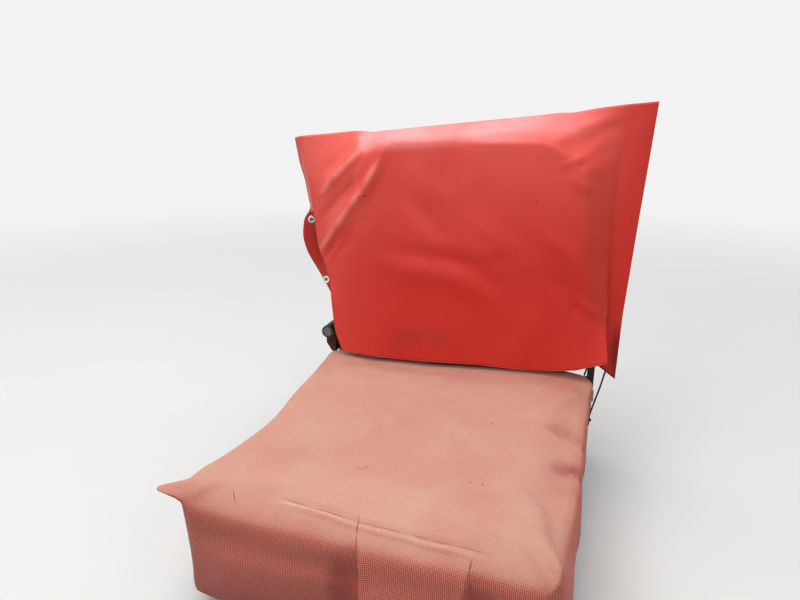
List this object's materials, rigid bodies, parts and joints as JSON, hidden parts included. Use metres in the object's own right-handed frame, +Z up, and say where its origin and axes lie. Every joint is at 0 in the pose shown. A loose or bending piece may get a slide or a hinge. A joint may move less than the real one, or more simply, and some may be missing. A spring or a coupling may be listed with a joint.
{
  "type": "machine operator seat with weather covers",
  "caption": "Operator seat of a construction machine on slide rails, with a tilting backrest, a fitted cushion cover and a loose cover drawn over the backrest.",
  "frame": {"origin": "middle of the four fixing holes, on the underside of the base straps", "axes": "+Z up, -Y the way the seat looks, +X to the right of somebody who faces the seat"},
  "size_m": [0.6418, 0.6268, 0.6303],
  "materials": {
    "strap_paint": "black paint, rust at the edges",
    "rail_zinc": "dull zinc plate with grease and dust",
    "bright_steel": "plain turned steel",
    "rod_zinc": "dull zinc plate",
    "frame_paint": "satin black paint, worn at the edges",
    "leg_paint": "satin black paint, worn at the edges",
    "rusted_steel": "brown rust with remains of paint",
    "socket_paint": "black paint, scuffed",
    "plug_plastic": "grey weathered plastic",
    "knob_plastic": "black moulded plastic",
    "grip_rubber": "black ribbed rubber",
    "board_ply": "plain plywood",
    "pad_vinyl": "black grained vinyl",
    "cushion_cover": "sun-faded woven-look coated cloth",
    "back_cover_sheet": "smooth red coated sheet, semi-gloss",
    "cord_black": "black braided cord"
  },
  "bodies": {
    "base": {"strap_front": "strap_paint", "strap_rear": "strap_paint", "rail_lower_left": "rail_zinc", "rail_lower_right": "rail_zinc"},
    "seat": {"rail_upper_left": "rail_zinc", "rail_upper_right": "rail_zinc", "rail_rollers": "bright_steel", "seat_pan": "frame_paint", "cushion": "cushion_cover", "hinge_plate_left": "frame_paint", "hinge_plate_right": "frame_paint", "pivot_pins": "bright_steel", "lever_brackets": "rail_zinc"},
    "slide_lever": {"slide_lever": "rod_zinc", "lever_grip": "grip_rubber"},
    "backrest": {"leg_left": "leg_paint", "leg_right": "leg_paint", "cross_tube_lower": "frame_paint", "cross_tube_upper": "frame_paint", "tube_saddles": "rail_zinc", "back_board": "board_ply", "back_pad": "pad_vinyl", "back_cover": "back_cover_sheet", "armrest_socket": "socket_paint", "socket_plug": "plug_plastic", "socket_bracket": "rusted_steel", "tilt_stud": "bright_steel", "tilt_knob": "knob_plastic", "cord_loop": "cord_black", "cord_knot": "cord_black", "tie_cord": "cord_black", "cord_end_knot": "cord_black"}
  },
  "joints": [
    {"name": "seat_slide", "type": "slide", "parent": "base", "child": "seat", "axis": [0, 1, 0], "range_m": [-0.075, 0.075]},
    {"name": "lever_lift", "type": "hinge", "parent": "seat", "child": "slide_lever", "pos_m": [0.075, 0, 0.019], "axis": [0, 1, 0], "range_deg": [0, 20], "stiffness_Nm_per_rad": 1.5, "springref_deg": -11.46},
    {"name": "backrest_tilt", "type": "hinge", "parent": "seat", "child": "backrest", "pos_m": [0, 0.2975, 0.132], "axis": [1, 0, 0], "range_deg": [-20, 5]}
  ]
}
